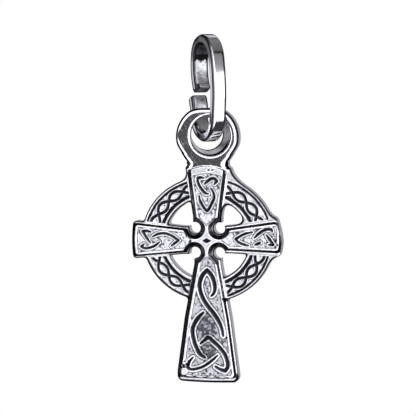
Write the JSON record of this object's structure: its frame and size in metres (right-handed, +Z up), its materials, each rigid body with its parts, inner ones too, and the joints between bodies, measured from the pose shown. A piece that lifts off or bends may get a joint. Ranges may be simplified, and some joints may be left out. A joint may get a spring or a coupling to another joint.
{
  "type": "celtic cross pendant on an open bail",
  "caption": "Silver celtic cross pendant with knotwork panels and a braided ring, hung by its eye from an open flat-wire bail.",
  "frame": {"origin": "inside of the top of the bail, where the chain bears", "axes": "+Z up along the hanging pendant, -Y out of the pendant's front, +X to the right seen from the front"},
  "size_m": [0.0142, 0.0048, 0.0319],
  "materials": {
    "cast_silver": "polished cast silver, textured in the sunk grounds",
    "wire_silver": "bright drawn silver with fine scratches"
  },
  "bodies": {
    "bail": {"bail": "wire_silver"},
    "pendant": {"celtic_cross": "cast_silver"}
  },
  "joints": [
    {"name": "pendant_swing", "type": "hinge", "parent": "bail", "child": "pendant", "pos_m": [0, 0, -0.00643], "axis": [0.809, 0.5878, 0], "range_deg": [-60, 60]}
  ]
}
